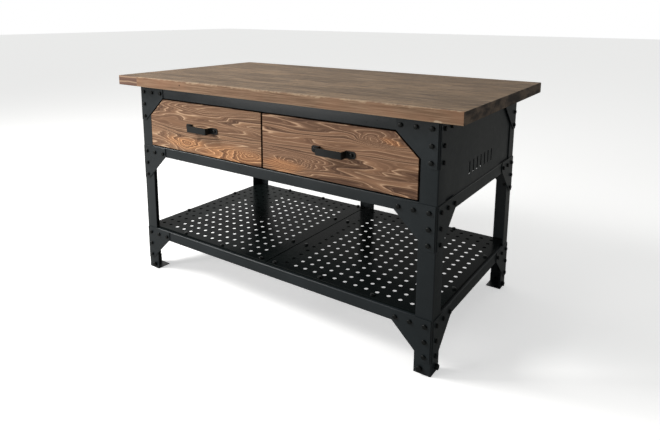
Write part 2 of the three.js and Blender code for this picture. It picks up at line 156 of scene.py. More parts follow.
class Nodes:
    """The shader nodes of one material, wired up as they are added."""

    def __init__(self, name):
        self.material = bpy.data.materials.new(name)
        self.material.use_nodes = True
        self.tree = self.material.node_tree
        self.shader = self.tree.nodes["Principled BSDF"]
        self.place = self.add("ShaderNodeTexCoord").outputs["Object"]

    def add(self, kind, inputs=(), **settings):
        node = self.tree.nodes.new(kind)
        for key, value in settings.items():
            setattr(node, key, value)
        for key, value in dict(inputs).items():
            self.put(value, node.inputs[key])
        return node

    def put(self, value, socket):
        """Joins another node's output to a socket, or sets the socket to a plain value."""
        if isinstance(value, bpy.types.NodeSocket):
            self.tree.links.new(value, socket)
        else:
            socket.default_value = value

    def math(self, operation, *values):
        return self.add("ShaderNodeMath", dict(enumerate(values)), operation=operation).outputs[0]

    def vector(self, operation, *values):
        return self.add("ShaderNodeVectorMath", dict(enumerate(values)), operation=operation).outputs[0]

    def mapped(self, scale, shift=(0, 0, 0), source=None):
        """The place on the piece, stretched and moved, in metres times scale."""
        inputs = {"Vector": source or self.place, "Scale": scale, "Location": shift}
        return self.add("ShaderNodeMapping", inputs).outputs[0]

    def noise(self, where, scale=1.0, detail=2.0, roughness=0.5):
        inputs = {"Vector": where, "Scale": scale, "Detail": detail, "Roughness": roughness}
        return self.add("ShaderNodeTexNoise", inputs).outputs["Fac"]

    def span(self, value, low, high, to_low=0.0, to_high=1.0, smooth=False):
        """Runs from to_low to to_high as value goes from low to high, and stays there outside."""
        inputs = {"Value": value, "From Min": low, "From Max": high, "To Min": to_low, "To Max": to_high}
        kind = "SMOOTHSTEP" if smooth else "LINEAR"
        return self.add("ShaderNodeMapRange", inputs, interpolation_type=kind).outputs[0]

    def ramp(self, value, *stops):
        """A colour by value, through stops of (position, colour)."""
        node = self.add("ShaderNodeValToRGB", {"Fac": value})
        ramp = node.color_ramp
        while len(ramp.elements) < len(stops):
            ramp.elements.new(1.0)
        for element, (position, colour) in zip(ramp.elements, stops):
            element.position = position
            element.color = (*colour, 1)
        return node.outputs["Color"]

    def mix(self, share, first, second, blend="MIX"):
        node = self.add("ShaderNodeMix", data_type="RGBA", blend_type=blend)
        for socket, value in ((node.inputs[0], share), (node.inputs[6], first), (node.inputs[7], second)):
            if isinstance(value, tuple):
                value = (*value, 1)
            self.put(value, socket)
        return node.outputs[2]

    def spot(self, centre, size, source=None, core=0.35):
        """One at centre, falling to nothing at the given distances along x, y and z."""
        scale = tuple(1 / s if s else 0 for s in size)
        shift = tuple(-c * k for c, k in zip(centre, scale))
        near = {0: self.mapped(scale, shift, source)}
        far = self.add("ShaderNodeVectorMath", near, operation="LENGTH").outputs["Value"]
        return self.span(far, core, 1.0, 1.0, 0.0, smooth=True)

    def bump(self, height, strength, distance):
        inputs = {"Height": height, "Strength": strength, "Distance": distance}
        self.put(self.add("ShaderNodeBump", inputs).outputs[0], self.shader.inputs["Normal"])


def coated_steel(name, colour, gloss, roughness):
    """Powder coat: a cloudy tone, a fine orange-peel surface and a little pale dust."""
    made = Nodes(name)
    darker, lighter, dusty = (tuple(share * c for c in colour) for share in (0.85, 1.2, 2.2))
    cloud = made.noise(made.place, 5.0, 3.0)
    peel = made.noise(made.place, 900.0, 1.0)
    dust = made.noise(made.place, 60.0, 4.0, 0.7)
    tone = made.mix(made.span(cloud, 0.3, 0.7), darker, lighter)
    tone = made.mix(made.span(dust, 0.62, 0.8, 0, 0.35), tone, dusty)
    made.put(tone, made.shader.inputs["Base Color"])
    uneven = made.math("ADD", made.span(cloud, 0.3, 0.7, -0.05, 0.05), made.span(dust, 0.3, 0.8, -0.04, 0.06))
    made.put(made.math("ADD", uneven, roughness), made.shader.inputs["Roughness"])
    made.shader.inputs["Specular IOR Level"].default_value = gloss
    made.bump(peel, 0.12, 0.0004)
    return made.material


anthracite = coated_steel("anthracite_coat", (0.0145, 0.0190, 0.0218), 0.38, 0.33)


def finished(name, bm, material, body="frame", nodes=(), edge=0.0, smooth_over=None):
    """The piece made of a bmesh, with its edges eased, riding on its body."""
    bmesh.ops.remove_doubles(bm, verts=bm.verts, dist=1e-6)
    bmesh.ops.recalc_face_normals(bm, faces=bm.faces)
    mesh = bpy.data.meshes.new(name)
    bm.to_mesh(mesh)
    bm.free()
    mesh.materials.append(material)
    piece = bpy.data.objects.new(name, mesh)
    scene.collection.objects.link(piece)
    if edge:
        mesh.shade_smooth()
        eased = piece.modifiers.new("eased edges", "BEVEL")
        eased.width = edge
        eased.segments = 2
        eased.limit_method = "ANGLE"
        eased.angle_limit = radians(35)
        eased.harden_normals = True
    if smooth_over:
        mesh.shade_smooth()
        mesh.set_sharp_from_angle(angle=radians(smooth_over))
    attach(piece, body)
    if nodes:
        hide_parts(*nodes)


def points_in(geometry):
    """The vertices among the things that a bmesh operator returns."""
    return [item for item in geometry if isinstance(item, bmesh.types.BMVert)]


def extruded(outline, way):
    """A flat outline drawn out along way."""
    bm = bmesh.new()
    face = bm.faces.new([bm.verts.new(point) for point in outline])
    grown = bmesh.ops.extrude_face_region(bm, geom=[face])["geom"]
    bmesh.ops.translate(bm, verts=points_in(grown), vec=way)
    return bm


def edges_through(bm, *points):
    """The straight edges that run between pairs of points."""
    wanted = []
    for start, end in points:
        for edge in bm.edges:
            a, b = (v.co for v in edge.verts)
            forwards = (a - start).length + (b - end).length
            backwards = (a - end).length + (b - start).length
            if min(forwards, backwards) < touching:
                wanted.append(edge)
    return wanted


def rounded(bm, edges, radius, steps=4):
    """Rounds the given edges in that many steps."""
    bmesh.ops.bevel(
        bm, geom=edges, offset=radius, offset_type="OFFSET", segments=steps, profile=0.5,
        affect="EDGES", material=-1,
    )


def angle_iron(corner, first, second, widths, thickness, way, outer_radius, root_radius):
    """Steel angle with its outer corner at corner and its flanges along first and second."""
    u, v = first * widths[0], second * widths[1]
    a, b = first * thickness, second * thickness
    outline = [corner, corner + u, corner + u + b, corner + a + b, corner + a + v, corner + v]
    bm = extruded(outline, way)
    rounded(bm, edges_through(bm, (corner, corner + way)), outer_radius, 5)
    root = corner + a + b
    rounded(bm, edges_through(bm, (root, root + way)), root_radius, 4)
    return bm


X, Y, Z = Vector((1, 0, 0)), Vector((0, 1, 0)), Vector((0, 0, 1))
MM = 0.001
gap = 0.3 * MM
smooth_angle = 40
touching = 0.01 * MM
front_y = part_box("front_shelf_rail")[0].y
side_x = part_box("right_shelf_rail")[1].x
leg_flange = side_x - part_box("front_shelf_rail")[1].x - gap
back_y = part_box("right_shelf_rail")[1].y + gap + leg_flange
leg_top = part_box("front_top_rail")[1].z
angle_thickness = 4 * MM
leg_corner_radius, root_radius = 5 * MM, 4 * MM
burr = 0.7 * MM

corners = {
    "front_left": (-1, -1, Vector((-side_x, front_y, 0))),
    "front_right": (1, -1, Vector((side_x, front_y, 0))),
    "back_left": (-1, 1, Vector((-side_x, back_y, 0))),
    "back_right": (1, 1, Vector((side_x, back_y, 0))),
}
for corner_name, (side, end, corner) in corners.items():
    leg = angle_iron(
        corner, X * -side, Y * -end, (leg_flange, leg_flange), angle_thickness, Z * leg_top,
        leg_corner_radius, root_radius,
    )
    node = f"{corner_name}_leg"
    finished(node, leg, anthracite, nodes=[node], edge=burr)

# ---- Bolts ----
# Black steel bolts with low domed heads, each with a hexagon nut on its end inside the frame.
# The same bolts hold the gussets, the shelf and the back post.

bolt_black = coated_steel("black_bolt", (0.004, 0.005, 0.005), 0.26, 0.36)
head_radius, head_height = 7.8 * MM, 6 * MM
head_rounding = 1.6 * MM
shank_radius = 3.9 * MM
nut_radius, nut_height, nut_chamfer = 7.5 * MM, 6.5 * MM, 0.8 * MM
thread_past_nut = 3 * MM


def add_bolt(bm, seat, out, radius=head_radius, height=head_height, grip=None):
    """Adds a bolt with its head on seat, pointing along out, and a nut past what it grips."""
    turn = Z.rotation_difference(out).to_matrix().to_4x4()
    head = bmesh.ops.create_cone(
        bm, cap_ends=True, segments=20, radius1=radius, radius2=radius, depth=height,
        matrix=Matrix.Translation(seat + out * (height / 2)) @ turn,
    )["verts"]
    top = {v for v in head if (v.co - seat).dot(out) > height / 2}
    rim = {edge for v in top for edge in v.link_edges if all(w in top for w in edge.verts)}
    bmesh.ops.bevel(
        bm, geom=list(rim), offset=head_rounding, segments=3, profile=0.5, affect="EDGES",
        material=-1,
    )
    if grip is None:
        return
    tail = grip + nut_height + thread_past_nut
    bmesh.ops.create_cone(
        bm, cap_ends=True, segments=10, radius1=shank_radius, radius2=shank_radius, depth=tail,
        matrix=Matrix.Translation(seat - out * (tail / 2)) @ turn,
    )
    made = bmesh.ops.create_cone(
        bm, cap_ends=True, segments=6, radius1=nut_radius, radius2=nut_radius, depth=nut_height,
        matrix=Matrix.Translation(seat - out * (grip + nut_height / 2)) @ turn,
    )["verts"]
    ends = {
        edge for v in made for edge in v.link_edges
        if abs((edge.verts[0].co - edge.verts[1].co).dot(out)) < touching
    }
    bmesh.ops.bevel(
        bm, geom=list(ends), offset=nut_chamfer, segments=1, profile=0.5, affect="EDGES",
        material=-1,
    )


# ---- Feet ----
# Bent plates that fill the foot of each leg: a square on the floor and a tab up each flange,
# held by one larger bolt through each flange.

foot_bolt_from_corner, foot_bolt_z = 40 * MM, 19 * MM
foot_bolt_radius, foot_bolt_height = 10 * MM, 10 * MM
foot_thickness = 3 * MM
relief = 6 * MM
for corner_name, (side, end, corner) in corners.items():
    node = f"{corner_name}_foot"
    low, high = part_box(node)
    inner = corner + X * (-side * (angle_thickness + gap)) + Y * (-end * (angle_thickness + gap))
    reach = high.x - low.x
    across, along = X * -side, Y * -end
    sole = bmesh.new()
    outline = [
        inner + across * relief, inner + across * reach, inner + across * reach + along * reach,
        inner + along * reach, inner + along * relief, inner + (across + along) * relief,
    ]
    plate = sole.faces.new([sole.verts.new(point) for point in outline])
    for start, finish in ((outline[0], outline[1]), (outline[3], outline[4])):
        fold_line = edges_through(sole, (start, finish))
        raised = bmesh.ops.extrude_edge_only(sole, edges=fold_line)["geom"]
        bmesh.ops.translate(sole, verts=points_in(raised), vec=Z * high.z)
    bmesh.ops.recalc_face_normals(sole, faces=sole.faces)
    inwards = -foot_thickness if plate.normal.z > 0 else foot_thickness
    bmesh.ops.solidify(sole, geom=sole.faces[:], thickness=inwards)
    finished(node, sole, anthracite, nodes=[node], edge=burr)
    bolts = bmesh.new()
    grip = 2 * angle_thickness
    for way, out in ((across, Y * end), (along, X * side)):
        seat = corner + way * foot_bolt_from_corner + Z * foot_bolt_z
        add_bolt(bolts, seat, out, foot_bolt_radius, foot_bolt_height, grip)
    finished(f"{corner_name}_foot_bolts", bolts, bolt_black, smooth_over=smooth_angle)

# ---- Rails ----
# Steel angle between the legs at the top, under the drawers and under the shelf, with one
# flange level with the legs and the other turned inwards along the top.

rail_flange = 40 * MM
rail_corner_radius = 3 * MM
fine_burr = 0.6 * MM
levels = ("top", "drawer", "shelf")
rail_heights = {"top": 48 * MM, "drawer": 43 * MM, "shelf": 43 * MM}
front_drawer_rail_height = 42 * MM
back_rail_tops = {
    "top": leg_top,
    "drawer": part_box("left_drawer_rail")[1].z,
    "shelf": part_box("left_shelf_rail")[1].z,
}
sides = {
    "front": (Vector((0, front_y, 0)), Y, X, "x"),
    "back": (Vector((0, back_y, 0)), -Y, -X, "x"),
    "left": (Vector((-side_x, 0, 0)), X, -Y, "y"),
    "right": (Vector((side_x, 0, 0)), -X, Y, "y"),
}
rail_tops = {}
for side_name, (face, inwards, along, axis) in sides.items():
    like_low, like_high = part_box("front_shelf_rail" if axis == "x" else "right_shelf_rail")
    ends = sorted((along.dot(like_low), along.dot(like_high)))
    run = along * (ends[1] - ends[0])
    for level in levels if axis == "x" else levels[1:]:
        node = f"{side_name}_{level}_rail"
        height = front_drawer_rail_height if node == "front_drawer_rail" else rail_heights[level]
        top = back_rail_tops[level] if side_name == "back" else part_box(node)[1].z
        corner = face + along * ends[0] + Z * top
        rail_tops[node] = top
        bar = angle_iron(
            corner, inwards, -Z, (rail_flange, height), angle_thickness, run,
            rail_corner_radius, root_radius,
        )
        finished(node, bar, anthracite, nodes=[node], edge=fine_burr)

# ---- Gussets ----
# Flat plates, three millimetres thick, over every joint between a leg and a rail. Each is held
# by three bolts along the top and two more down the leg.

gusset_thickness = 3 * MM
gusset_near, gusset_reach = 5 * MM, 150 * MM
gusset_drop, gusset_foot_width = 151 * MM, 30 * MM
gusset_arms = {"top": 43 * MM, "drawer": 37 * MM, "shelf": 37 * MM}
gusset_corner_radius = 2 * MM
gusset_tops = {level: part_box(f"front_left_{level}_gusset")[1].z for level in levels}
first_bolt_across, first_bolt_down = 26 * MM, 24.5 * MM
bolt_pitch = 54 * MM
bolt_places = ((0, 0), (1, 0), (2, 0), (0, 1), (0, 2))
for side_name, (face, inwards, along, axis) in sides.items():
    half = side_x if axis == "x" else (back_y - front_y) / 2
    middle = face + (Y * ((front_y + back_y) / 2) if axis == "y" else Vector())
    end_names = ("left", "right") if axis == "x" else ("front", "back")
    for outwards in (-along, along):
        end_name = end_names[outwards.x + outwards.y > 0]
        for level in levels:
            top = middle + outwards * half + Z * gusset_tops[level] - inwards * gap
            outline = [
                top - outwards * across - Z * down for across, down in (
                    (gusset_near, 0), (gusset_reach, 0), (gusset_reach, gusset_arms[level]),
                    (gusset_foot_width, gusset_drop), (gusset_near, gusset_drop))
            ]
            plate = extruded(outline, inwards * -gusset_thickness)
            corners_out = [(point, point - inwards * gusset_thickness) for point in outline]
            rounded(plate, edges_through(plate, *corners_out), gusset_corner_radius, 2)
            node = f"{side_name}_{end_name}_{level}_gusset"
            stands_for = [node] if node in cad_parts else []
            finished(node, plate, anthracite, nodes=stands_for, edge=fine_burr)
            bolts = bmesh.new()
            for across, down in bolt_places:
                seat = top - outwards * (first_bolt_across + across * bolt_pitch)
                seat -= Z * (first_bolt_down + down * bolt_pitch) + inwards * gusset_thickness
                add_bolt(bolts, seat, -inwards, grip=gusset_thickness + gap + angle_thickness)
            finished(f"{node}_bolts", bolts, bolt_black, smooth_over=smooth_angle)

# ---- Shelf ----
# Two trays of two millimetre sheet, punched with a square grid of round holes and folded down
# all round. They lie on the shelf rails and meet over a channel along the middle.

hole_radius = 8 * MM
hole_columns, hole_rows = 14, 16
hole_pitch_x, hole_pitch_y = 45.2 * MM, 45.5 * MM
first_column = 72 * MM
sheet = 2 * MM
tray_depth, tray_fold_radius = 8 * MM, 1.2 * MM
tray_smooth_angle = 20
tray_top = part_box("left_shelf_rail")[1].z + gap + tray_depth
edge_bolts_x, edge_bolts_in = (35 * MM, 252 * MM, 476 * MM), 11 * MM
end_bolts_x, end_bolts_y = (35 * MM, side_x - 20 * MM), 163 * MM
tray_bolt_grip = 12 * MM


def open_rim(bm, low, high):
    """The open edges of a sheet that run along the sides of a rectangle seen from above."""
    def on_side(v):
        gaps = (v.co.x - low.x, v.co.x - high.x, v.co.y - low.y, v.co.y - high.y)
        return min(abs(away) for away in gaps) < touching
    return [edge for edge in bm.edges if edge.is_boundary and all(on_side(v) for v in edge.verts)]


def punched_cell(bm):
    """One hole with the square of sheet round it, centred on the origin."""
    bmesh.ops.create_circle(bm, segments=16, radius=hole_radius)
    border = bmesh.ops.create_circle(bm, segments=16, radius=1)["verts"]
    for v in border:
        stretch = max(abs(v.co.x), abs(v.co.y))
        v.co.x *= hole_pitch_x / 2 / stretch
        v.co.y *= hole_pitch_y / 2 / stretch
    bmesh.ops.bridge_loops(bm, edges=bm.edges[:])


def tray(low, high, side):
    """Holes side by side, then a plain margin out to the folds, then the folds themselves."""
    bm = bmesh.new()
    punched_cell(bm)
    first = bm.verts[:] + bm.edges[:] + bm.faces[:]
    first_row = (low.y + high.y) / 2 - hole_pitch_y * (hole_rows - 1) / 2
    start = Vector((side * first_column, first_row, tray_top))
    for column in range(hole_columns):
        for row in range(hole_rows):
            copy = bmesh.ops.duplicate(bm, geom=first)["geom"]
            shift = start + X * (side * column * hole_pitch_x) + Y * (row * hole_pitch_y)
            bmesh.ops.translate(bm, verts=points_in(copy), vec=shift)
    bmesh.ops.delete(bm, geom=points_in(first), context="VERTS")
    bmesh.ops.remove_doubles(bm, verts=bm.verts, dist=touching)
    grid_low = Vector((min(v.co.x for v in bm.verts), min(v.co.y for v in bm.verts)))
    grid_high = Vector((max(v.co.x for v in bm.verts), max(v.co.y for v in bm.verts)))
    margin = bmesh.ops.extrude_edge_only(bm, edges=open_rim(bm, grid_low, grid_high))["geom"]
    for v in points_in(margin):
        for axis in (0, 1):
            if abs(v.co[axis] - grid_low[axis]) < touching:
                v.co[axis] = low[axis]
            elif abs(v.co[axis] - grid_high[axis]) < touching:
                v.co[axis] = high[axis]
    rim = open_rim(bm, low, high)
    fold = bmesh.ops.extrude_edge_only(bm, edges=rim)["geom"]
    bmesh.ops.translate(bm, verts=points_in(fold), vec=Z * -tray_depth)
    rounded(bm, [edge for edge in rim if edge.is_valid], tray_fold_radius, 2)
    bmesh.ops.recalc_face_normals(bm, faces=bm.faces)
    if sum(face.normal.z * face.calc_area() for face in bm.faces) < 0:
        bmesh.ops.reverse_faces(bm, faces=bm.faces)
    bmesh.ops.solidify(bm, geom=bm.faces[:], thickness=sheet)
    return bm


shelf_coat = coated_steel("shelf_coat", (0.006, 0.008, 0.008), 0.035, 0.2)
for node, side in (("left_shelf_tray", -1), ("right_shelf_tray", 1)):
    low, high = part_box(node)
    finished(
        node, tray(low, high, side), shelf_coat, nodes=[node],
        smooth_over=tray_smooth_angle,
    )
    bolts = bmesh.new()
    places = [(x, y) for x in edge_bolts_x for y in (low.y + edge_bolts_in, high.y - edge_bolts_in)]
    middle_y = (low.y + high.y) / 2
    places += [(x, middle_y + y) for x in end_bolts_x for y in (-end_bolts_y, end_bolts_y)]
    for x, y in places:
        add_bolt(bolts, Vector((side * x, y, tray_top)), Z, grip=tray_bolt_grip)
    finished(f"{node}_bolts", bolts, bolt_black, smooth_over=smooth_angle)

node = "shelf_seam_channel"
low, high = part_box(node)
half, deep = high.x, high.z - low.z
outline = [
    Vector((x, low.y, high.z + z)) for x, z in (
        (-half, 0), (-half, -deep), (sheet - half, -deep), (sheet - half, -sheet),
        (half - sheet, -sheet), (half - sheet, -deep), (half, -deep), (half, 0))
]
channel = extruded(outline, Y * (high.y - low.y))
finished(node, channel, anthracite, nodes=[node], edge=fine_burr)

# ---- Back post ----
# A channel of three millimetre steel bolted to the outside of the back rails halfway along,
# with its flanges pointing backwards.

low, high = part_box("back_center_post")
half = high.x
wall, deep = 3 * MM, 18 * MM - gap
post_corner_radius = 2.5 * MM
rise = Z * (high.z - low.z)
outline = [
    Vector((x, back_y + gap + y, low.z)) for x, y in (
        (-half, 0), (half, 0), (half, deep), (half - wall, deep), (half - wall, wall),
        (wall - half, wall), (wall - half, deep), (-half, deep))
]
post = extruded(outline, rise)
corners_up = [(point, point + rise) for point in outline[:2]]
rounded(post, edges_through(post, *corners_up), post_corner_radius, 3)
finished(
    "back_center_post", post, anthracite, nodes=["back_center_post"],
    edge=fine_burr,
)
bolts = bmesh.new()
for level in levels:
    for x in (-half / 2, half / 2):
        height = rail_tops[f"back_{level}_rail"] - rail_heights[level] / 2
        add_bolt(bolts, Vector((x, back_y + gap + wall, height)), Y, grip=wall + gap + angle_thickness)
finished("back_center_post_bolts", bolts, bolt_black, smooth_over=smooth_angle)

# ---- Panels round the drawers ----
# Two millimetre sheet in the sides and the back, and a folded divider between the drawers.
# All of it has the same coat as the frame.

for node in ("left_side_panel", "right_side_panel", "back_panel", "drawer_divider"):
    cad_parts[node].material_slots[0].material = anthracite

# ---- Runners ----
# Zinc plated channels rolled from thin strip, four to a drawer: two on the frame and two on
# the sides of the drawer, sliding one inside the other.

zinc = Nodes("zinc_plate")
spangle = zinc.noise(zinc.mapped((60, 6, 60)), 1.0, 3.0, 0.6)
plated = zinc.ramp(spangle, (0.3, (0.42, 0.43, 0.44)), (0.7, (0.60, 0.61, 0.62)))
zinc.put(plated, zinc.shader.inputs["Base Color"])
zinc.put(zinc.span(spangle, 0.3, 0.7, 0.30, 0.45), zinc.shader.inputs["Roughness"])
zinc.shader.inputs["Metallic"].default_value = 0.9
for side_name in ("left", "right"):
    for place in ("inner", "outer"):
        for kind in ("fixed", "drawer"):
            node = f"{side_name}_{place}_{kind}_runner"
            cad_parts[node].material_slots[0].material = zinc.material

# ---- Worktop ----
# Oiled brown staves, finger jointed end to end and glued side by side, with eased edges. The
# front edge is rubbed pale.

low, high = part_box("worktop")
stave_width = 57 * MM
shortest_stave, longest_stave = 0.30, 0.55
worktop_edge = 1.6 * MM


def solid_block(low, high):
    """A block between two opposite corners."""
    bm = bmesh.new()
    middle, size = (low + high) / 2, high - low
    place = Matrix.Translation(middle) @ Matrix.Diagonal((*size, 1))
    bmesh.ops.create_cube(bm, size=1, matrix=place)
    return bm


def stave_top(made, x, y, z):
    """The brown upper face, with a tone and grain to each stave. Also gives rings and fibre."""
    across_staves = made.math("DIVIDE", made.math("SUBTRACT", y, low.y), stave_width)
    row = made.math("FLOOR", across_staves)
    row_pick = made.add("ShaderNodeTexWhiteNoise", {"W": row}, noise_dimensions="1D")
    row_chance = row_pick.outputs["Value"]
    stave_length = made.span(row_chance, 0, 1, shortest_stave, longest_stave)
    slid = made.math("ADD", x, made.math("MULTIPLY", row_chance, 7.3))
    block = made.math("FLOOR", made.math("DIVIDE", slid, stave_length))
    tag = made.add("ShaderNodeCombineXYZ", {0: block, 1: row}).outputs[0]
    stave_pick = made.add("ShaderNodeTexWhiteNoise", {"Vector": tag}, noise_dimensions="2D")
    chance, moved = stave_pick.outputs["Value"], stave_pick.outputs["Color"]
    own_place = made.vector("ADD", made.place, made.vector("MULTIPLY", moved, (9.0, 9.0, 9.0)))

    bend = made.noise(made.mapped((2.2, 16, 16), source=own_place), 1.0, 2.0)
    slope = made.math("ADD", made.math("MULTIPLY", y, 150.0), made.math("MULTIPLY", z, 90.0))
    ring = made.math("FRACT", made.math("ADD", slope, made.math("MULTIPLY", bend, 9.0)))
    fibre = made.noise(made.mapped((10, 170, 170), source=own_place), 1.0, 4.0, 0.72)
    blotch = made.noise(made.mapped((3, 9, 9)), 1.0, 3.0)
    brown = made.ramp(
        ring, (0.0, (0.235, 0.158, 0.098)), (0.5, (0.315, 0.215, 0.136)),
        (0.85, (0.385, 0.268, 0.172)), (1.0, (0.235, 0.158, 0.098)),
    )
    darker = made.mix(1.0, brown, (0.58, 0.56, 0.54), "MULTIPLY")
    brown = made.mix(made.span(fibre, 0.40, 0.56), darker, brown)
    tone = made.ramp(
        chance, (0.0, (0.70, 0.69, 0.68)), (0.3, (0.92, 0.92, 0.92)), (0.75, (1.08, 1.07, 1.05)),
        (1.0, (1.26, 1.24, 1.20)),
    )
    brown = made.mix(1.0, brown, tone, "MULTIPLY")
    brown = made.mix(made.span(blotch, 0.35, 0.65, 0.0, 0.3), brown, (0.17, 0.118, 0.078))
    streak = made.noise(made.mapped((4.2, 70, 70), (3, 1, 0)), 1.0, 4.0, 0.80)
    brown = made.mix(made.span(streak, 0.53, 0.56, 0.0, 0.78), brown, (0.105, 0.072, 0.049))
    brown = made.mix(made.span(streak, 0.46, 0.38, 0.0, 0.70), brown, (0.42, 0.30, 0.20))

    middle_to_edge = made.math("SUBTRACT", made.math("FRACT", across_staves), 0.5)
    glue = made.span(made.math("ABSOLUTE", middle_to_edge), 0.470, 0.485)
    broken = made.noise(made.mapped((22, 9, 1), (0, 5, 0)), 1.0, 2.0)
    seam = made.math("MULTIPLY", glue, made.span(broken, 0.50, 0.58))
    brown = made.mix(made.math("MULTIPLY", seam, 0.7), brown, (0.07, 0.046, 0.032))
    speck = made.noise(made.mapped((60, 170, 60)), 1.0, 2.0, 0.5)
    worn_part = made.spot((0.1, -0.34, 0.9), (0.75, 0.09, 0.1))
    pits = made.math("MULTIPLY", made.span(speck, 0.62, 0.70), worn_part)
    brown = made.mix(made.math("MULTIPLY", pits, 0.75), brown, (0.055, 0.04, 0.03))
    dusty_part = made.spot((0.45, -0.38, 0.9), (0.5, 0.05, 0.1))
    crumbs = made.math("MULTIPLY", made.span(speck, 0.36, 0.30), dusty_part)
    brown = made.mix(made.math("MULTIPLY", crumbs, 0.7), brown, (0.42, 0.32, 0.22))
    return brown, ring, fibre


def rubbed_face(made, x, z):
    """The pale front edge: fine grain, a worn upper arris, one chip, one knot, one cut stave."""
    grain = made.noise(made.mapped((7, 1, 300), (0, 0, 2)), 1.0, 4.0, 0.65)
    patch = made.noise(made.mapped((5, 1, 12)), 1.0, 2.0)
    pale = made.ramp(
        grain, (0.32, (0.14, 0.079, 0.046)), (0.5, (0.26, 0.158, 0.097)),
        (0.64, (0.37, 0.238, 0.150)),
    )
    pale = made.mix(made.span(patch, 0.45, 0.65, 0.0, 0.5), pale, (0.33, 0.172, 0.10))
    slanted = made.math("ADD", made.math("MULTIPLY", x, 110.0), made.math("MULTIPLY", z, 240.0))
    slant = made.math("MULTIPLY", made.span(made.math("FRACT", slanted), 0.5, 0.95), 0.45)
    slant = made.math("MULTIPLY", slant, made.spot((-0.02, low.y, 0.872), (0.20, 0.1, 0.03)))
    pale = made.mix(slant, pale, (0.17, 0.095, 0.06))
    worn = made.noise(made.mapped((26, 1, 60)), 1.0, 3.0, 0.6)
    arris = made.math("SUBTRACT", high.z, made.span(worn, 0.35, 0.65, -0.002, 0.007))
    above = made.span(made.math("SUBTRACT", z, arris), -0.001, 0.002, 0.0, 0.75)
    speck = made.noise(made.mapped((90, 90, 90)), 1.0, 2.0)
    bare = made.math("MULTIPLY", above, made.span(speck, 0.40, 0.55, 0.25, 1.0))
    pale = made.mix(bare, pale, (0.50, 0.36, 0.235))
    below = made.span(made.math("SUBTRACT", z, low.z), 0.001, 0.004, 0.5, 0.0)
    pale = made.mix(below, pale, (0.46, 0.32, 0.21))
    shake = made.noise(made.mapped((60, 60, 60)), 1.0)
    ragged = made.vector("ADD", made.place, made.vector("MULTIPLY", shake, (0.012, 0, 0.006)))
    chip = made.spot((0.725, low.y, low.z + 0.004), (0.016, 0.05, 0.007), ragged, core=0.7)
    pale = made.mix(made.math("MULTIPLY", chip, 0.8), pale, (0.55, 0.42, 0.30))
    knot = made.spot((-0.40, low.y, 0.884), (0.006, 0.05, 0.005))
    pale = made.mix(knot, pale, (0.09, 0.05, 0.03))
    layers = made.math("ADD", made.math("MULTIPLY", z, 48.0), made.math("MULTIPLY", patch, 1.6))
    cut_stave = made.ramp(
        made.math("FRACT", layers), (0.0, (0.44, 0.30, 0.20)), (0.22, (0.15, 0.085, 0.062)),
        (0.8, (0.19, 0.11, 0.08)), (1.0, (0.44, 0.30, 0.20)),
    )
    return made.mix(made.span(x, -0.676, -0.674, 1.0, 0.0), pale, cut_stave)


def rubbed_part(made, y):
    """How far the pale front edge reaches: a crumbling line a few millimetres back."""
    wander = made.noise(made.mapped((9, 0, 0)), 1.0, 4.0, 0.65)
    crumbly = made.noise(made.mapped((70, 70, 0)), 1.0, 2.0)
    line = made.math("ADD", low.y, made.span(wander, 0.3, 0.7, 0.006, 0.020))
    line = made.math("ADD", line, made.span(crumbly, 0.3, 0.7, -0.005, 0.010))
    return made.span(made.math("SUBTRACT", line, y), -0.003, 0.001)


def stave_ends(made):
    """The dark end grain at the two short ends."""
    end_grain = made.noise(made.mapped((1, 14, 30), (0, 3, 0)), 1.0, 3.0, 0.6)
    return made.ramp(
        end_grain, (0.38, (0.055, 0.042, 0.034)), (0.5, (0.12, 0.088, 0.068)),
        (0.62, (0.20, 0.145, 0.105)),
    )


staves = Nodes("oiled_staves")
x, y, z = staves.add("ShaderNodeSeparateXYZ", {0: staves.place}).outputs
brown, ring, fibre = stave_top(staves, x, y, z)
colour = staves.mix(rubbed_part(staves, y), brown, rubbed_face(staves, x, z))
at_end = staves.span(staves.math("ABSOLUTE", x), high.x - 0.0012, high.x - 0.0008)
colour = staves.mix(at_end, colour, stave_ends(staves))
staves.put(colour, staves.shader.inputs["Base Color"])
staves.put(staves.span(fibre, 0.3, 0.7, 0.5, 0.66), staves.shader.inputs["Roughness"])
staves.shader.inputs["Specular IOR Level"].default_value = 0.16
staves.bump(staves.math("ADD", fibre, staves.math("MULTIPLY", ring, 0.4)), 0.25, 0.0006)
slab = solid_block(low, high)
finished("worktop", slab, staves.material, nodes=["worktop"], edge=worktop_edge)

# ---- Drawer fronts ----
# Flat-sawn pine boards, brushed and stained brown so that the hard rings stand out pale. The
# outer top corner is cut off beside the gusset.

corner_cut_width, corner_cut_height = 84 * MM, 76 * MM
board_edge = 1.2 * MM


def pine_rings(made, flow, drift, knots):
    """Counts the growth rings across the board, bulging round each knot.

    A knot is (x, z, half length, half height, rings).
    """
    wide = made.noise(made.mapped((0.7, 1, 8.0), drift, flow), 1.0, 1.0, 0.4)
    fine = made.noise(made.mapped((1.9, 1, 22.0), drift, flow), 1.0, 2.0, 0.5)
    x = made.add("ShaderNodeSeparateXYZ", {0: flow}).outputs[0]
    rings = made.math("MULTIPLY", x, 2.5)
    rings = made.math("ADD", rings, made.math("MULTIPLY", wide, 30.0))
    rings = made.math("ADD", rings, made.math("MULTIPLY", fine, 9.0))
    for knot_x, knot_z, long, high, strength in knots:
        scaled = made.mapped((1 / long, 0, 1 / high), (-knot_x / long, 0, -knot_z / high), flow)
        length = made.add("ShaderNodeVectorMath", {0: scaled}, operation="LENGTH")
        far = made.math("POWER", length.outputs["Value"], 2.0)
        bulge = made.math("DIVIDE", strength, made.math("ADD", 1.0, far))
        rings = made.math("ADD", rings, bulge)
    return rings


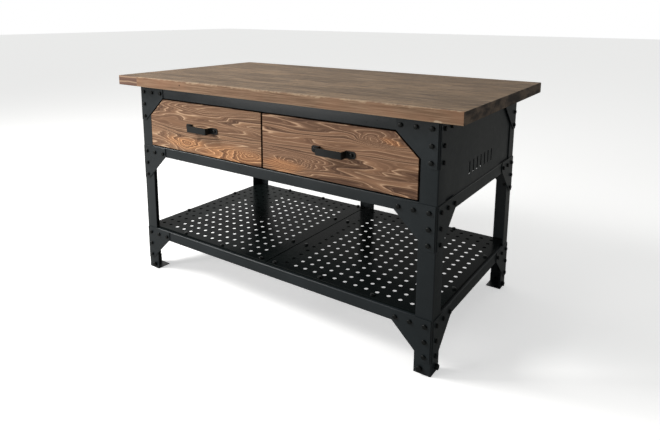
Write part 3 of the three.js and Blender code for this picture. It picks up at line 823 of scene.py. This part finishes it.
def stained_pine(name, knots, drift, warm_spots, front, tint):
    """The pine of one board; a warm spot is (x, z, half length, half height)."""
    made = Nodes(name)
    hooks = made.add("ShaderNodeTexNoise", {
        "Vector": made.mapped((3.6, 1, 26), drift), "Scale": 1.0, "Detail": 3.0,
    })
    bent = made.vector("SUBTRACT", hooks.outputs["Color"], (0.5, 0.5, 0.5))
    bent = made.vector("MULTIPLY", bent, (0.17, 0, 0.013))
    flow = made.vector("ADD", made.place, bent)
    rings = pine_rings(made, flow, drift, knots)
    ring = made.math("FRACT", rings)
    each = made.add("ShaderNodeTexWhiteNoise", {"W": made.math("FLOOR", rings)}, noise_dimensions="1D")
    own = each.outputs["Value"]
    minor = made.math("FRACT", made.math("MULTIPLY", rings, 3.0))
    fibre = made.noise(made.mapped((10, 1, 700)), 1.0, 3.0, 0.6)
    streak = made.noise(made.mapped((1.6, 1, 34), drift), 1.0, 3.0, 0.6)
    colour = made.ramp(
        ring, (0.0, (0.66, 0.45, 0.28)), (0.07, (0.74, 0.52, 0.33)), (0.12, (0.30, 0.165, 0.092)),
        (0.22, (0.105, 0.056, 0.034)), (0.52, (0.17, 0.092, 0.052)), (0.88, (0.40, 0.235, 0.13)),
        (1.0, (0.66, 0.45, 0.28)),
    )
    soft = made.ramp(
        own, (0.0, (0.075, 0.042, 0.027)), (0.45, (0.30, 0.170, 0.098)), (1.0, (0.50, 0.305, 0.175)),
    )
    colour = made.mix(made.span(ring, 0.12, 0.24, 0.0, 0.5), colour, soft)
    colour = made.mix(made.span(minor, 0.6, 0.95, 0.0, 0.40), colour, (0.52, 0.33, 0.20))
    plain = made.ramp(streak, (0.3, (0.15, 0.085, 0.05)), (0.7, (0.40, 0.24, 0.14)))
    colour = made.mix(made.span(streak, 0.5, 0.7, 0.0, 0.5), colour, plain)
    colour = made.mix(made.span(fibre, 0.40, 0.65, 0.0, 0.32), colour, (0.13, 0.07, 0.042))
    warmth = 0.0
    for spot_x, spot_z, long, high in warm_spots:
        near = made.spot((spot_x, 0, spot_z), (long, 0, high), flow)
        warmth = made.math("MAXIMUM", warmth, near)
    colour = made.mix(warmth, colour, made.mix(1.0, colour, (1.60, 1.39, 1.13), "MULTIPLY"))
    colour = made.mix(1.0, colour, tint, "MULTIPLY")
    # Painted shade: more than two millimetres behind the front face, the board's edges and back are darkened
    # to about a fifth. This stands in for the shade in the gaps round the drawer.
    y = made.add("ShaderNodeSeparateXYZ", {0: made.place}).outputs[1]
    edge = made.span(y, front + 0.0012, front + 0.0022)
    colour = made.mix(edge, colour, made.mix(1.0, colour, (0.22, 0.19, 0.17), "MULTIPLY"))
    made.put(colour, made.shader.inputs["Base Color"])
    made.put(made.span(ring, 0.0, 1.0, 0.60, 0.48), made.shader.inputs["Roughness"])
    made.shader.inputs["Specular IOR Level"].default_value = 0.2
    made.bump(made.math("ADD", ring, fibre), 0.3, 0.0008)
    return made.material


board_knots = {
    "left": ((-0.425, 0.632, 0.055, 0.020, 7.0), (-0.075, 0.632, 0.05, 0.018, 5.0)),
    "right": ((0.50, 0.770, 0.05, 0.020, 7.0), (0.15, 0.640, 0.06, 0.022, 7.0)),
}
board_tint = {"left": (0.94, 0.89, 0.89), "right": (0.90, 0.83, 0.83)}
board_warmth = {
    "left": ((-0.42, 0.630, 0.16, 0.035), (-0.14, 0.615, 0.26, 0.055)),
    "right": ((0.10, 0.620, 0.12, 0.035), (0.56, 0.770, 0.04, 0.018)),
}
for side_name, side in (("left", -1), ("right", 1)):
    node = f"{side_name}_drawer_front"
    low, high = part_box(node)
    inner_x, outer_x = (low.x, high.x) if side > 0 else (high.x, low.x)
    cut_x, cut_z = outer_x - side * corner_cut_width, high.z - corner_cut_height
    outline = [
        Vector((x, low.y, z)) for x, z in (
            (inner_x, low.z), (outer_x, low.z), (outer_x, cut_z), (cut_x, high.z), (inner_x, high.z))
    ]
    board = extruded(outline, Y * (high.y - low.y))
    pine = stained_pine(
        f"{side_name}_stained_pine", board_knots[side_name], (side * 4.0, 0, 2.0),
        board_warmth[side_name], low.y, board_tint[side_name],
    )
    finished(node, board, pine, f"{side_name}_drawer", [node], edge=board_edge)

# ---- Drawer boxes ----
# Folded steel sheet, open at the top, screwed to the back of the fronts. They have the same
# coat as the frame.

box_sheet, box_fold_radius = 1.5 * MM, 3 * MM
for side_name in ("left", "right"):
    node = f"{side_name}_drawer_box"
    box = solid_block(*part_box(node))
    lid = [face for face in box.faces if face.normal.z > 0.9]
    bmesh.ops.delete(box, geom=lid, context="FACES_ONLY")
    rounded(box, [edge for edge in box.edges if not edge.is_boundary], box_fold_radius, 3)
    bmesh.ops.recalc_face_normals(box, faces=box.faces)
    bmesh.ops.solidify(box, geom=box.faces[:], thickness=box_sheet)
    finished(
        node, box, anthracite, f"{side_name}_drawer", [node],
        smooth_over=smooth_angle,
    )

# ---- Handles ----
# Flat black bar bent out from two round-cornered tabs, bolted through the drawer fronts.
# Each bolt has a low, smooth head.

handle_black = coated_steel("handle_black", (0.008, 0.009, 0.009), 0.28, 0.45)
bar = 4 * MM
half_handle, half_grip, stand_off = 91 * MM, 57 * MM, 35 * MM
bar_bend_radius, tab_corner_radius = 3.5 * MM, 9 * MM
handle_bolt_x = 76 * MM
handle_bolt_radius, handle_bolt_height = 6 * MM, 3.5 * MM


def is_upright(edge):
    start, end = (v.co for v in edge.verts)
    return (start - end).xy.length < touching


for side_name in ("left", "right"):
    node = f"{side_name}_handle"
    low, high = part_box(node)
    middle = (low.x + high.x) / 2
    arm, out = half_grip - bar / 2, bar - stand_off
    path = [(-half_handle, 0), (-arm, 0), (-arm, out), (arm, out), (arm, 0), (half_handle, 0)]
    strip = bmesh.new()
    row = [strip.verts.new((middle + x, high.y - bar / 2 + y, low.z)) for x, y in path]
    spine = [strip.edges.new(pair) for pair in zip(row, row[1:])]
    raised = bmesh.ops.extrude_edge_only(strip, edges=spine)["geom"]
    bmesh.ops.translate(strip, verts=points_in(raised), vec=Z * (high.z - low.z))
    bends = [edge for edge in strip.edges if is_upright(edge) and not edge.is_boundary]
    rounded(strip, bends, bar_bend_radius, 4)
    tips = [v for v in strip.verts if abs(abs(v.co.x - middle) - half_handle) < touching]
    bmesh.ops.bevel(
        strip, geom=tips, offset=tab_corner_radius, segments=5, profile=0.5,
        affect="VERTICES", material=-1,
    )
    bmesh.ops.recalc_face_normals(strip, faces=strip.faces)
    bmesh.ops.solidify(strip, geom=strip.faces[:], thickness=bar / 2)
    body = f"{side_name}_drawer"
    finished(node, strip, handle_black, body, [node], smooth_over=smooth_angle)
    bolts = bmesh.new()
    for x in (middle - handle_bolt_x, middle + handle_bolt_x):
        seat = Vector((x, high.y - bar, (low.z + high.z) / 2))
        add_bolt(bolts, seat, -Y, handle_bolt_radius, handle_bolt_height)
    finished(f"{node}_bolts", bolts, bolt_black, body, smooth_over=smooth_angle)
